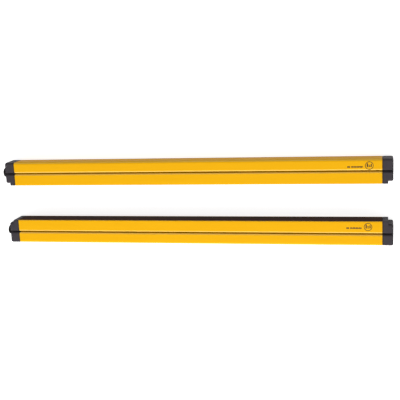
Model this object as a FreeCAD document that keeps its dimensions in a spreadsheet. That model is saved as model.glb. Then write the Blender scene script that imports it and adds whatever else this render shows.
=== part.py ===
import FreeCAD, Part

"""Safety light curtain: an emitter bar and a receiver bar whose windows face each other.

Frame: millimetres, +Z up. X runs along the bars with the plugs at the -X end. Each bar lies on a
side face on z = 0. The receiver is on the -Y side with its window towards +Y, and the emitter on
the +Y side with its window towards -Y. The origin is the bottom centre of the whole set.

Inside a bar the pieces share one local frame: X along the bar from the middle of the extrusion,
Y across it (side face to side face, 0 in the middle) and Z through its depth, from 0 at the closed
back to bar_depth at the window. A bar's placement lays that frame down.
"""

import os
import re
from dataclasses import dataclass
from math import cos, pi, sin

import Sketcher

# Driving sizes in mm. Every length below is one of these or follows from them.
SIZES = {
    # the two bars
    "bar_width": 28.0,           # side face to side face
    "bar_depth": 30.0,           # closed back to window
    "bar_gap": 46.0,             # window to window: the protected field as the set lies here
    "back_corner": 3.0,          # corner radius of the extrusion at its back
    "front_corner": 0.8,         # and beside the window
    # beams: the protected height is beam_count * beam_pitch
    "beam_count": 24.0,
    "beam_pitch": 18.75,
    "module_beam_count": 8.0,    # beams on one optics carrier
    "display_room": 15.0,        # extrusion beyond the first beam cell, at the plug end
    "end_room": 2.0,             # extrusion beyond the last beam cell
    # extrusion walls and side grooves
    "wall": 1.8,
    "web": 1.4,                  # inner walls
    "groove_offset": 0.5,        # middle of a side groove, behind the middle of the depth
    "groove_mouth": 2.0,
    "groove_chamfer": 1.4,       # each edge of the mouth, at the side face
    "groove_lip": 1.8,           # side face to the wide part of the groove
    "groove_room": 6.4,          # wide part of the groove, along the depth
    "groove_floor": 4.1,         # side face to the bottom of the groove
    "groove_wall": 2.3,          # metal between a groove's bottom and the optics cavity
    # beam board in its slot
    "board_place": 10.1,         # lower face of the slot, from the back
    "board_thickness": 1.6,
    "board_grip": 1.0,           # how deep the slot goes into each cavity wall
    "board_play": 0.1,           # above the board, and at each of its long edges
    # window, pressed on its seals under the two front lips
    "seat_wall": 0.9,            # metal beside the window's flange
    "lip_thickness": 1.6,
    "lip_width": 1.6,
    "window_flange": 2.1,
    "window_play": 0.2,
    "seal_thickness": 1.0,
    "seal_width": 1.6,
    # screw channels of the extrusion
    "channel_bore": 2.6,
    "channel_boss": 5.4,
    "channel_slot": 1.2,
    "back_screw_inset": 4.4,     # back screws: in from the side face, and from the back
    "back_screw_place": 4.4,
    "front_screw_inset": 3.7,    # front screws: in from the side face, and behind the ledge
    "front_screw_drop": 3.75,
    # moulded end caps and their gaskets
    "gasket_thickness": 1.0,
    "gasket_inset": 0.3,         # gasket edge inside the bar's outline
    "cap_base": 6.0,             # full section next to the gasket
    "cap_tip": 6.0,              # stepped down on the window side
    "cap_step": 3.0,
    "cap_corner": 3.2,           # corners of the stepped part on the window side
    "cap_edge": 2.2,             # rounding of the outer edge
    "cap_core": 4.0,             # hollow moulded into a cap from inside
    "spigot_reach": 1.5,         # spigot inside the extrusion
    "spigot_wall": 1.2,
    "spigot_play": 0.2,
    # cap screws
    "screw_shank": 2.5,
    "screw_hole": 2.9,
    "screw_head": 4.8,
    "screw_head_height": 2.2,
    "screw_socket": 2.0,         # hexagon socket, across flats
    "counterbore": 5.2,
    "screw_seat": 3.4,           # cap thickness under a screw head
    "screw_reach": 8.0,          # shank inside the extrusion
    # M12 plug socket in the connector cap
    "plug_offset": 0.5,          # its axis, behind the middle of the depth
    "well_diameter": 17.2,
    "well_depth": 3.0,
    "thread_diameter": 12.0,
    "thread_length": 8.0,
    "plug_flange": 14.5,
    "plug_flange_thickness": 1.5,
    "plug_shank": 10.0,
    "plug_shank_play": 0.05,     # radial, in the cap's floor
    "shank_beyond_floor": 0.5,
    "plug_bore": 8.5,
    "plug_bore_play": 0.05,      # radial, round the insert
    "plug_recess": 7.0,          # rim to the insert's face
    "plug_chamfer": 0.6,
    "ring_inside": 11.0,         # flat sealing ring under the flange, its groove's inner diameter
    "ring_width": 1.2,
    "ring_thickness": 0.8,
    "ring_squeeze": 0.1,         # the groove is this much shallower than the ring
    "insert_collar": 1.0,        # shoulder that seats on the back of the shell
    "emitter_pin": 1.0,
    "emitter_pin_circle": 5.0,
    "receiver_pin": 0.8,
    "receiver_pin_circle": 5.5,
    "pin_reach": 6.0,            # pin beyond the insert's face
    "pin_tail": 2.0,             # solder cup behind the insert
    "pin_tail_extra": 0.4,       # the cup is this much thicker than the pin
    "pin_play": 0.05,
    "key_width": 1.2,
    "key_height": 0.7,
    # optics
    "carrier_play": 0.3,
    "beam_throat": 4.8,          # square light funnel of a carrier, at the board
    "beam_mouth": 10.0,          # and at the lens
    "lens_diameter": 9.0,
    "lens_rise": 0.8,            # stepped lens below its sheet
    "lens_flank": 30.0,          # slope of the lens's edge, in degrees
    "lens_sheet": 1.5,
    "lens_window_gap": 0.7,
    "diode_length": 3.2,
    "diode_width": 2.8,
    "diode_height": 1.9,
    # status lamps at the plug end
    "lamp_count": 3.0,
    "lamp_diameter": 2.8,
    "lamp_pitch": 4.4,
    "lamp_play": 0.1,
    "lamp_proud": 0.3,
    # parts on the back of the board
    "chip_side": 8.0,
    "chip_height": 1.4,
    "chip_pitch": 26.0,
    "chip_count": 4.0,
}

# Sizes that follow from the driving ones.
DERIVED = {
    "half_width": "bar_width / 2",
    "profile_length": "beam_count * beam_pitch + display_room + end_room",
    "profile_end": "profile_length / 2",
    "bar_length": "profile_length + 2 * gasket_thickness + 2 * (cap_base + cap_tip)",
    "plug_proud": "thread_length + plug_flange_thickness - well_depth",
    "first_cell": "display_room - profile_end",
    # side grooves, and the cavity that they leave
    "groove_place": "bar_depth / 2 - groove_offset",
    "cavity_width": "bar_width - 2 * (groove_floor + groove_wall)",
    "compartment_half": "half_width - wall",
    # window stack, from the front backwards
    "lip_under": "bar_depth - lip_thickness",
    "window_under": "lip_under - board_play - window_flange",
    "ledge": "window_under - seal_thickness",
    "seat_half": "half_width - seat_wall",
    "lip_half": "half_width - lip_width",
    "flange_half": "seat_half - window_play",
    # screw channels
    "back_screw_side": "half_width - back_screw_inset",
    "front_screw_side": "half_width - front_screw_inset",
    "front_screw_place": "ledge - front_screw_drop",
    # board and optics stack, from the board forwards
    "compartment_top": "board_place - web",
    "board_top": "board_place + board_thickness",
    "slot_top": "board_top + board_play",
    "slot_half": "cavity_width / 2 + board_grip",
    "lens_top": "window_under - lens_window_gap",
    "lens_under": "lens_top - lens_sheet",
    "carrier_half": "cavity_width / 2 - carrier_play",
    # status display, between the spigot of the connector cap and the first module
    "holder_start": "spigot_reach + spigot_play - profile_end",
    "holder_length": "display_room - spigot_reach - 2 * spigot_play",
    "first_lamp": "holder_start + (holder_length - (lamp_count - 1) * lamp_pitch) / 2",
    # caps, outwards along the bar from the end of the extrusion
    "cap_inner": "profile_end + gasket_thickness",
    "cap_shoulder": "cap_inner + cap_base",
    "cap_outer": "cap_shoulder + cap_tip",
    "head_seat": "cap_inner + screw_seat",
    "spigot_half": "cavity_width / 2 - spigot_play",
    "spigot_low": "slot_top + spigot_play",
    "spigot_high": "ledge - spigot_play",
    # plug socket, outwards from the floor of its well
    "plug_place": "bar_depth / 2 - plug_offset",
    "well_floor": "cap_outer - well_depth",
    "core_floor": "cap_inner + cap_core",
    "plug_collar": "well_floor + plug_flange_thickness",
    "plug_rim": "plug_collar + thread_length",
    "plug_back": "core_floor - shank_beyond_floor",
    "insert_back": "plug_back - insert_collar",
    "insert_face": "plug_rim - plug_recess",
    "insert_radius": "plug_bore / 2 - plug_bore_play",
}


def expand(text):
    """An expression with each derived name replaced by the driving sizes it stands for."""
    while True:
        wider = re.sub(r"[a-z_]+", lambda word: f"({DERIVED[word[0]]})" if word[0] in DERIVED
                       else word[0], text)
        if wider == text:
            return text
        text = wider


def bound(text):
    """The same expression, reading the driving sizes from the spreadsheet."""
    return re.sub(r"[a-z_]+", lambda word: f"Sizes.{word[0]}" if word[0] in SIZES else word[0],
                  expand(str(text)))


def make_sheet(document):
    """Write the driving sizes into a spreadsheet, one alias to a row."""
    sheet = document.addObject("Spreadsheet::Sheet", "Sizes")
    for row, (name, size) in enumerate(SIZES.items(), start=1):
        sheet.set(f"A{row}", name)
        sheet.set(f"B{row}", str(size))
        sheet.setAlias(f"B{row}", name)
    document.recompute()
    return sheet


document = FreeCAD.newDocument("SafetyLightCurtain")
sheet = make_sheet(document)


def value(text):
    """The number that an expression comes to."""
    return float(sheet.evalExpression(bound(text)))


# --- sketches and features, all bound to the sheet -------------------------------------------

def attach(feature, body, plane):
    """Lay a sketch or a primitive on one of its own body's origin planes."""
    origin_plane = next(o for o in body.Origin.OriginFeatures if o.Role == plane)
    feature.AttachmentSupport = [(origin_plane, "")]
    feature.MapMode = "FlatFace"


class Drawing:
    """A sketch on one of a body's own origin planes, whose sizes are bound to the sheet.

    "YZ_Plane" is a section of the bar, drawn (across, depth) at a place along it. "XY_Plane" is a
    plan, drawn (along, across) at a depth. "XZ_Plane" is a side view, drawn (along, depth).
    """

    def __init__(self, body, plane="YZ_Plane", at="0"):
        self.sketch = body.newObject("Sketcher::SketchObject", "Drawing")
        attach(self.sketch, body, plane)
        self.sketch.setExpression("AttachmentOffset.Base.z", bound(at))

    def fix(self, kind, geometry, point, text):
        """Dimension one coordinate of a point from the sketch's origin."""
        index = self.sketch.addConstraint(
            Sketcher.Constraint(kind, -1, 1, geometry, point, value(text)))
        self.sketch.setExpression(f"Constraints[{index}]", bound(text))

    def radius(self, geometry, text):
        index = self.sketch.addConstraint(Sketcher.Constraint("Radius", geometry, value(text)))
        self.sketch.setExpression(f"Constraints[{index}]", bound(text))

    def polygon(self, *corners):
        """A closed outline of straight lines through the corners, given as pairs of expressions."""
        points = [FreeCAD.Vector(value(u), value(v), 0) for u, v in corners]
        lines = [self.sketch.addGeometry(Part.LineSegment(a, b), False)
                 for a, b in zip(points, points[1:] + points[:1])]
        for line, following in zip(lines, lines[1:] + lines[:1]):
            self.sketch.addConstraint(Sketcher.Constraint("Coincident", line, 2, following, 1))
        for line, (u, v) in zip(lines, corners):
            self.fix("DistanceX", line, 1, u)
            self.fix("DistanceY", line, 1, v)
        return self

    def mirrored(self, *corners):
        """The outline, and its mirror image across the bar's middle plane."""
        self.polygon(*corners)
        return self.polygon(*[(f"-({u})", v) for u, v in corners])

    def box(self, u0, v0, u1, v1):
        """A rectangle between two corners."""
        return self.polygon((u0, v0), (u1, v0), (u1, v1), (u0, v1))

    def circle(self, u, v, radius):
        """A circle by its centre and radius."""
        centre = FreeCAD.Vector(value(u), value(v), 0)
        ring = self.sketch.addGeometry(
            Part.Circle(centre, FreeCAD.Vector(0, 0, 1), value(radius)), False)
        self.fix("DistanceX", ring, 3, u)
        self.fix("DistanceY", ring, 3, v)
        self.radius(ring, radius)
        return self

    def rounded_box(self, half, low, high, low_radius, high_radius):
        """A rectangle centred across the bar, with its own radius at its low and its high corners."""
        # corners anticlockwise from the low right one: signs of (across, depth), radius, start angle
        corners = ((1, -1, low_radius, -pi / 2), (1, 1, high_radius, 0),
                   (-1, 1, high_radius, pi / 2), (-1, -1, low_radius, pi))
        arcs = []
        for across, depth, radius, start in corners:
            size = value(radius)
            edge = value(high) if depth > 0 else value(low)
            centre = FreeCAD.Vector(across * (value(half) - size), edge - depth * size, 0)
            circle = Part.Circle(centre, FreeCAD.Vector(0, 0, 1), size)
            arcs.append(self.sketch.addGeometry(Part.ArcOfCircle(circle, start, start + pi / 2), False))
        # the straight side that follows each corner, and the coordinate that places it
        sides = (("Vertical", "DistanceX", half), ("Horizontal", "DistanceY", high),
                 ("Vertical", "DistanceX", f"-({half})"), ("Horizontal", "DistanceY", low))
        for index, (direction, coordinate, place) in enumerate(sides):
            arc, following = arcs[index], arcs[(index + 1) % 4]
            line = self.sketch.addGeometry(Part.LineSegment(
                self.sketch.getPoint(arc, 2), self.sketch.getPoint(following, 1)), False)
            self.sketch.addConstraint(Sketcher.Constraint("Tangent", arc, 2, line, 1))
            self.sketch.addConstraint(Sketcher.Constraint("Tangent", line, 2, following, 1))
            self.sketch.addConstraint(Sketcher.Constraint(direction, line))
            self.fix(coordinate, line, 1, place)
            self.radius(arc, corners[index][2])
        return self


def extruded(body, kind, drawing, length, reverse, taper):
    """A pad or a pocket; a taper, in degrees, narrows it towards its end."""
    feature = body.newObject(f"PartDesign::{kind}", kind)
    feature.Profile = drawing.sketch
    feature.setExpression("Length", bound(length))
    feature.Reversed = reverse
    if taper:
        feature.setExpression("TaperAngle", bound(f"-({taper})"))
    return feature


def pad(body, drawing, length, reverse=False, taper=None):
    """Raise a drawing by a length, along its plane's normal or against it."""
    return extruded(body, "Pad", drawing, length, reverse, taper)


def pocket(body, drawing, length, reverse=False, taper=None):
    """Cut a drawing into the body by a length, along its plane's normal or against it."""
    return extruded(body, "Pocket", drawing, length, not reverse, taper)


def repeated(body, feature, count, spacing):
    """Repeat one feature along the bar."""
    pattern = body.newObject("PartDesign::LinearPattern", "Row")
    pattern.Originals = [feature]
    axis = next(o for o in body.Origin.OriginFeatures if o.Role == "X_Axis")
    pattern.Direction = (axis, [""])
    pattern.setExpression("Length", bound(f"({count} - 1) * ({spacing})"))
    pattern.setExpression("Occurrences", bound(count))
    body.Tip = pattern
    return pattern


# --- the two bars ------------------------------------------------------------------------------

@dataclass(frozen=True)
class Bar:
    """One bar of the set.

    facing is +1 when its window looks towards +Y. ring_pins and centre_pin say how its plug is
    wired, and diodes names what its beam board carries.
    """
    name: str
    facing: int
    ring_pins: int
    centre_pin: bool
    diodes: str

    def body(self, label):
        """A new body of this bar, laid down in the bar's place."""
        body = document.addObject("PartDesign::Body", "Body")
        body.Label = f"{self.name}_{label}"
        body.Placement = FreeCAD.Placement(
            FreeCAD.Vector(), FreeCAD.Rotation(FreeCAD.Vector(1, 0, 0), -90 * self.facing))
        body.setExpression("Placement.Base.x", bound("plug_proud / 2"))
        body.setExpression("Placement.Base.y", bound(f"{-self.facing} * (bar_gap / 2 + bar_depth)"))
        body.setExpression("Placement.Base.z", bound("half_width"))
        return body


BARS = (
    Bar("receiver", 1, ring_pins=7, centre_pin=True, diodes="beam_receivers"),
    Bar("emitter", -1, ring_pins=4, centre_pin=False, diodes="beam_emitters"),
)
SCREW_PLACES = (("back_screw_side", "back_screw_place"), ("front_screw_side", "front_screw_place"))


def screw_circles(drawing, diameter):
    """Circles at the four screw channels."""
    for side, depth in SCREW_PLACES:
        drawing.circle(side, depth, f"{diameter} / 2")
        drawing.circle(f"-{side}", depth, f"{diameter} / 2")
    return drawing


def groove_outline(drawing):
    """The T-shaped side grooves, whose chamfered mouths open to both side faces."""
    low, high = "groove_place - groove_mouth / 2", "groove_place + groove_mouth / 2"
    wide_low, wide_high = "groove_place - groove_room / 2", "groove_place + groove_room / 2"
    mouth, lip, floor = "half_width - groove_chamfer", "half_width - groove_lip", "half_width - groove_floor"
    # the chamfers run on outside the side face, at 45 degrees
    outside, reach = "half_width + 1", "(groove_chamfer + 1)"
    return drawing.mirrored((outside, f"{low} - {reach}"), (outside, f"{high} + {reach}"),
                            (mouth, high), (lip, high), (lip, wide_high), (floor, wide_high),
                            (floor, wide_low), (lip, wide_low), (lip, low), (mouth, low))


def housing_profile(bar):
    """The extruded aluminium housing: one section, cut off to length."""
    body = bar.body("housing_profile")
    start = "-profile_end"

    def section():
        return Drawing(body, at=start)

    pad(body, section().rounded_box("half_width", "0", "bar_depth", "back_corner", "front_corner"),
        "profile_length")
    pocket(body, section().box("-compartment_half", "wall", "compartment_half", "compartment_top"),
           "profile_length")
    pocket(body, section().box("-cavity_width / 2", "compartment_top - web / 2", "cavity_width / 2",
                               "ledge + web / 2"), "profile_length")
    pocket(body, section().box("-slot_half", "board_place", "slot_half", "slot_top"), "profile_length")
    pocket(body, section().box("-seat_half", "ledge", "seat_half", "lip_under"), "profile_length")
    pocket(body, section().box("-lip_half", "lip_under - 1", "lip_half", "bar_depth + 1"), "profile_length")
    pocket(body, groove_outline(section()), "profile_length")
    bosses = section().circle("back_screw_side", "back_screw_place", "channel_boss / 2")
    pad(body, bosses.circle("-back_screw_side", "back_screw_place", "channel_boss / 2"), "profile_length")
    pocket(body, screw_circles(section(), "channel_bore"), "profile_length")
    slot_low = "front_screw_place - channel_slot / 2"
    slot_high = "front_screw_place + channel_slot / 2"
    inner, outer = "cavity_width / 2 - 0.5", "front_screw_side - channel_bore / 4"
    pocket(body, section().mirrored((inner, slot_low), (outer, slot_low), (outer, slot_high),
                                    (inner, slot_high)), "profile_length")
    return body


def front_window(bar):
    """The dark window: a flange under the lips, and a middle that is flush with them."""
    body = bar.body("front_window")
    middle = "lip_half - window_play"
    section = Drawing(body, at="-profile_end").polygon(
        ("-flange_half", "window_under"), ("flange_half", "window_under"),
        ("flange_half", "window_under + window_flange"), (middle, "window_under + window_flange"),
        (middle, "bar_depth"), (f"-({middle})", "bar_depth"),
        (f"-({middle})", "window_under + window_flange"),
        ("-flange_half", "window_under + window_flange"))
    pad(body, section, "profile_length")
    return body


def window_seal(bar):
    """Two rubber strips between the ledges and the window's flange."""
    body = bar.body("window_seal")
    section = Drawing(body, at="-profile_end").mirrored(
        ("flange_half - seal_width", "ledge"), ("flange_half", "ledge"),
        ("flange_half", "window_under"), ("flange_half - seal_width", "window_under"))
    pad(body, section, "profile_length")
    return body


def beam_board(bar):
    """The circuit board that slides into the slots of the cavity."""
    body = bar.body("beam_board")
    half = "slot_half - board_play"
    section = Drawing(body, at="-profile_end + spigot_reach").box(
        f"-({half})", "board_place", half, "board_top")
    pad(body, section, "profile_length - 2 * spigot_reach")
    return body


def beam_diodes(bar):
    """One infrared diode to a beam, in a row on the front of the board."""
    body = bar.body(bar.diodes)
    middle = "first_cell + beam_pitch / 2"
    plan = Drawing(body, "XY_Plane", "board_top").box(
        f"{middle} - diode_length / 2", "-diode_width / 2",
        f"{middle} + diode_length / 2", "diode_width / 2")
    repeated(body, pad(body, plan, "diode_height"), "beam_count", "beam_pitch")
    return body


def control_parts(bar):
    """Chips on the back of the board, in the rear compartment."""
    body = bar.body("control_parts")
    start = "-profile_end + display_room / 2"
    plan = Drawing(body, "XY_Plane", "board_place").box(
        start, "-chip_side / 2", f"{start} + chip_side", "chip_side / 2")
    repeated(body, pad(body, plan, "chip_height", reverse=True), "chip_count", "chip_pitch")
    return body


def modules():
    """Each optics module's number, the place where it starts and how many beams it has."""
    count, each = int(value("beam_count")), int(value("module_beam_count"))
    for before, first in enumerate(range(0, count, each)):
        whole = count - first >= each
        beams = "module_beam_count" if whole else f"(beam_count - {before} * module_beam_count)"
        yield before + 1, f"(first_cell + {before} * module_beam_count * beam_pitch)", beams


def module_section(body, start, low, high):
    """The section of a piece that fills a module's cells, drawn at its start."""
    return Drawing(body, at=f"{start} + carrier_play / 2").box("-carrier_half", low, "carrier_half", high)


def optics_carrier(bar, number, start, beams):
    """A moulded carrier with one square light funnel to a beam, standing on the board."""
    body = bar.body(f"optics_carrier_{number}")
    pad(body, module_section(body, start, "board_top", "lens_under"),
        f"{beams} * beam_pitch - carrier_play")
    funnel = body.newObject("PartDesign::SubtractiveWedge", "Funnel")
    attach(funnel, body, "XZ_Plane")
    funnel.setExpression("Ymin", bound("board_top"))
    funnel.setExpression("Ymax", bound("lens_under"))
    middle = f"({start} + beam_pitch / 2)"
    for end, side in (("", "beam_throat"), ("2", "beam_mouth")):
        funnel.setExpression(f"X{end}min", bound(f"{middle} - {side} / 2"))
        funnel.setExpression(f"X{end}max", bound(f"{middle} + {side} / 2"))
        funnel.setExpression(f"Z{end}min", bound(f"-{side} / 2"))
        funnel.setExpression(f"Z{end}max", bound(f"{side} / 2"))
    repeated(body, funnel, beams, "beam_pitch")
    return body


def lens_strip(bar, number, start, beams):
    """A clear strip on the carrier, with a stepped lens down into each funnel."""
    body = bar.body(f"lens_strip_{number}")
    pad(body, module_section(body, start, "lens_under", "lens_top"),
        f"{beams} * beam_pitch - carrier_play")
    rim = Drawing(body, "XY_Plane", "lens_under").circle(
        f"{start} + beam_pitch / 2", "0", "lens_diameter / 2")
    repeated(body, pad(body, rim, "lens_rise", reverse=True, taper="lens_flank"), beams, "beam_pitch")
    return body


def lamp_row(body, radius):
    """The first lamp's circle, drawn on the board."""
    return Drawing(body, "XY_Plane", "board_top").circle("first_lamp", "0", radius)


def display_holder(bar):
    """A moulded block at the plug end that carries the status lamps."""
    body = bar.body("display_holder")
    block = Drawing(body, at="holder_start").box("-carrier_half", "board_top", "carrier_half", "lens_under")
    pad(body, block, "holder_length")
    hole = pocket(body, lamp_row(body, "lamp_diameter / 2 + lamp_play"), "lens_under - board_top")
    repeated(body, hole, "lamp_count", "lamp_pitch")
    return body


def status_lamps(bar):
    """Light pipes from the board to just behind the window."""
    body = bar.body("status_lamps")
    pipe = pad(body, lamp_row(body, "lamp_diameter / 2"), "lens_under - board_top + lamp_proud")
    repeated(body, pipe, "lamp_count", "lamp_pitch")
    return body


# --- ends ---------------------------------------------------------------------------------------
# Each end is drawn for the +X end. A plug-end piece is drawn at negative places and raised in -X.

def end_section(body, side, at):
    """A section of an end piece; side is +1 at the closed end and -1 at the plug end."""
    return Drawing(body, at=f"{side} * ({at})")


def gasket(bar, side, label):
    """The soft gasket between the extrusion and a cap."""
    body = bar.body(label)
    reverse = side < 0

    def section():
        return end_section(body, side, "profile_end")

    pad(body, section().rounded_box("half_width - gasket_inset", "gasket_inset", "bar_depth - gasket_inset",
                                    "back_corner", "front_corner"), "gasket_thickness", reverse)
    opening = section().box("-cavity_width / 2", "board_place", "cavity_width / 2", "ledge")
    for cut in (opening, groove_outline(section()), screw_circles(section(), "screw_hole")):
        pocket(body, cut, "gasket_thickness", reverse)
    return body


def outer_edges(feature, side):
    """The names of the edges round a cap's outer end face."""
    outer = side * value("cap_outer")
    return [f"Edge{index}" for index, edge in enumerate(feature.Shape.Edges, start=1)
            if abs(edge.BoundBox.XMin - outer) < 1e-4 and abs(edge.BoundBox.XMax - outer) < 1e-4]


def cap_blank(bar, side, label):
    """What both moulded caps share: base, stepped tip, spigot, grooves and screw holes."""
    body = bar.body(label)
    reverse = side < 0
    pad(body, end_section(body, side, "cap_inner").rounded_box(
        "half_width", "0", "bar_depth", "back_corner", "front_corner"), "cap_base", reverse)
    tip = pad(body, end_section(body, side, "cap_shoulder").rounded_box(
        "half_width", "0", "bar_depth - cap_step", "back_corner", "cap_corner"), "cap_tip", reverse)
    document.recompute()
    rounding = body.newObject("PartDesign::Fillet", "Rounding")
    rounding.Base = (tip, outer_edges(tip, side))
    rounding.setExpression("Radius", bound("cap_edge"))
    spigot = end_section(body, side, "cap_inner").box(
        "-spigot_half", "spigot_low", "spigot_half", "spigot_high")
    pad(body, spigot, "gasket_thickness + spigot_reach", not reverse)
    core = "spigot_half - spigot_wall"
    hollow = end_section(body, side, "profile_end - spigot_reach").box(
        f"-({core})", "spigot_low - spigot_wall", core, "spigot_high - spigot_wall")
    pocket(body, hollow, "core_floor - profile_end + spigot_reach", reverse)
    pocket(body, groove_outline(end_section(body, side, "cap_inner")), "cap_base + cap_tip", reverse)
    pocket(body, screw_circles(end_section(body, side, "cap_inner"), "screw_hole"), "cap_base", reverse)
    pocket(body, screw_circles(end_section(body, side, "head_seat"), "counterbore"),
           "cap_outer - cap_inner - screw_seat", reverse)
    return body


def end_cap(bar):
    """The closed cap."""
    return cap_blank(bar, 1, "end_cap")


def connector_cap(bar):
    """The cap with the well and the hole for the plug socket."""
    body = cap_blank(bar, -1, "connector_cap")
    well = end_section(body, -1, "well_floor").circle("0", "plug_place", "well_diameter / 2")
    pocket(body, well, "well_depth", True)
    hole = end_section(body, -1, "profile_end - spigot_reach").circle(
        "0", "plug_place", "plug_shank / 2 + plug_shank_play")
    pocket(body, hole, "cap_outer - profile_end + spigot_reach", True)
    return body


def cap_screws(bar, side, label):
    """Four screws through a cap into the screw channels."""
    body = bar.body(label)
    reverse = side < 0
    shank = screw_circles(end_section(body, side, "profile_end - screw_reach"), "screw_shank")
    pad(body, shank, "screw_reach + gasket_thickness + screw_seat", reverse)
    heads = screw_circles(end_section(body, side, "head_seat"), "screw_head")
    pad(body, heads, "screw_head_height", reverse)
    sockets = end_section(body, side, "head_seat + screw_head_height / 3")
    for side_place, depth in SCREW_PLACES:
        hexagon(sockets, side_place, depth, "screw_socket")
        hexagon(sockets, f"-{side_place}", depth, "screw_socket")
    pocket(body, sockets, "screw_head_height", reverse)
    return body


def hexagon(drawing, across, depth, flats):
    """A hexagon by its centre and its size across flats."""
    corners = [(f"{across} + {flats} / sqrt(3) * {cos(pi / 3 * step):.6f}",
                f"{depth} + {flats} / sqrt(3) * {sin(pi / 3 * step):.6f}") for step in range(6)]
    return drawing.polygon(*corners)


# --- plug socket ---------------------------------------------------------------------------------

def turned(body, corners):
    """Turn an outline, given as (distance beyond the middle of the bar, radius), on the plug's axis."""
    drawing = Drawing(body, "XZ_Plane")
    low, high = -value("plug_rim"), -value("cap_inner")
    axis = drawing.sketch.addGeometry(Part.LineSegment(
        FreeCAD.Vector(low, value("plug_place"), 0), FreeCAD.Vector(high, value("plug_place"), 0)), True)
    for point, along in ((1, "-plug_rim"), (2, "-cap_inner")):
        drawing.fix("DistanceX", axis, point, along)
        drawing.fix("DistanceY", axis, point, "plug_place")
    drawing.polygon(*[(f"-({along})", f"plug_place + {radius}") for along, radius in corners])
    feature = body.newObject("PartDesign::Revolution", "Turned")
    feature.Profile = drawing.sketch
    feature.ReferenceAxis = (drawing.sketch, ["Axis0"])
    feature.Angle = 360
    return feature


def connector_shell(bar):
    """The threaded M12 shell, drawn at its thread's outer diameter."""
    body = bar.body("connector_shell")
    thread, bore, groove = "thread_diameter / 2", "plug_bore / 2", "ring_inside / 2"
    groove_floor = "well_floor + ring_thickness - ring_squeeze"
    turned(body, [
        ("plug_back", bore), ("plug_back", "plug_shank / 2"), ("well_floor", "plug_shank / 2"),
        ("well_floor", groove), (groove_floor, groove), (groove_floor, f"{groove} + ring_width"),
        ("well_floor", f"{groove} + ring_width"), ("well_floor", "plug_flange / 2"),
        ("plug_collar", "plug_flange / 2"), ("plug_collar", thread), ("plug_rim - plug_chamfer", thread),
        ("plug_rim", f"{thread} - plug_chamfer"), ("plug_rim", bore)])
    return body


def connector_seal(bar):
    """The flat sealing ring in the flange's groove, on the floor of the well."""
    body = bar.body("connector_seal")
    ring = end_section(body, -1, "well_floor").circle("0", "plug_place", "ring_inside / 2 + ring_width")
    ring.circle("0", "plug_place", "ring_inside / 2")
    pad(body, ring, "ring_thickness - ring_squeeze", True)
    return body


def pin_circles(bar, drawing, extra="0"):
    """Circles at the pins of a bar's plug, wider than the pins by an extra diameter."""
    diameter, ring = f"({bar.name}_pin + {extra})", f"{bar.name}_pin_circle / 2"
    for step in range(bar.ring_pins):
        angle = 2 * pi * (step + 0.5) / bar.ring_pins
        drawing.circle(f"{ring} * {sin(angle):.6f}", f"plug_place + {ring} * {cos(angle):.6f}",
                       f"{diameter} / 2")
    if bar.centre_pin:
        drawing.circle("0", "plug_place", f"{diameter} / 2")
    return drawing


def connector_insert(bar):
    """The insulating insert with its collar, pin holes and coding key."""
    body = bar.body("connector_insert")
    pad(body, end_section(body, -1, "insert_back").circle("0", "plug_place", "plug_shank / 2"),
        "insert_collar", True)
    pad(body, end_section(body, -1, "plug_back").circle("0", "plug_place", "insert_radius"),
        "insert_face - plug_back", True)
    key_top = "plug_place + insert_radius - plug_bore_play"
    key = end_section(body, -1, "insert_face").box(
        "-key_width / 2", f"{key_top} - key_height", "key_width / 2", key_top)
    pad(body, key, "pin_reach", True)
    holes = pin_circles(bar, end_section(body, -1, "insert_back"), "2 * pin_play")
    pocket(body, holes, "insert_face - insert_back", True)
    return body


def connector_pins(bar):
    """The contact pins through the insert, each with a solder cup seated on its back."""
    body = bar.body("connector_pins")
    cups = pin_circles(bar, end_section(body, -1, "insert_back - pin_tail"), "pin_tail_extra")
    pad(body, cups, "pin_tail", True)
    pins = pin_circles(bar, end_section(body, -1, "insert_back"))
    pad(body, pins, "insert_face + pin_reach - insert_back", True)
    return body


def build_bar(bar):
    """All pieces of one bar, from the extrusion inwards and then its ends."""
    pieces = [housing_profile(bar), front_window(bar), window_seal(bar), beam_board(bar),
              beam_diodes(bar), control_parts(bar)]
    for number, start, beams in modules():
        pieces.append(optics_carrier(bar, number, start, beams))
        pieces.append(lens_strip(bar, number, start, beams))
    pieces += [display_holder(bar), status_lamps(bar),
               gasket(bar, 1, "end_cap_gasket"), gasket(bar, -1, "connector_cap_gasket"),
               end_cap(bar), connector_cap(bar),
               cap_screws(bar, 1, "end_cap_screws"), cap_screws(bar, -1, "connector_cap_screws"),
               connector_shell(bar), connector_seal(bar), connector_insert(bar),
               connector_pins(bar)]
    return pieces


def check(pieces):
    """Stop if anything in the document failed, or if a piece has no sound shape."""
    failed = [f"{item.Label}: {item.State}" for item in document.Objects
              if "Invalid" in item.State or "Error" in item.State]
    failed += [f"{piece.Label}: no valid shape" for piece in pieces
               if piece.Shape.isNull() or not piece.Shape.isValid() or not piece.Shape.Solids]
    if failed:
        raise RuntimeError("; ".join(failed))


def write(pieces):
    """Write one STEP file to a piece."""
    os.makedirs("parts", exist_ok=True)
    for piece in pieces:
        piece.Shape.exportStep(f"parts/{piece.Label}.step")


all_pieces = [piece for bar in BARS for piece in build_bar(bar)]
document.recompute()
check(all_pieces)
write(all_pieces)
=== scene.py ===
"""Safety light curtain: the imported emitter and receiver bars, dressed and set in a plain studio.

Units are metres and +Z is up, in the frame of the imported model. X runs along the bars with the
plugs at -X. The receiver is on the -Y side with its window towards +Y, and the emitter on the +Y
side with its window towards -Y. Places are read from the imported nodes. Sizes are written in
millimetres and multiplied by MM where they are used.
"""

import logging
import math
from dataclasses import dataclass
from enum import Enum
from typing import Any, Iterator

import bmesh
import bpy
from mathutils import Matrix, Vector


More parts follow.
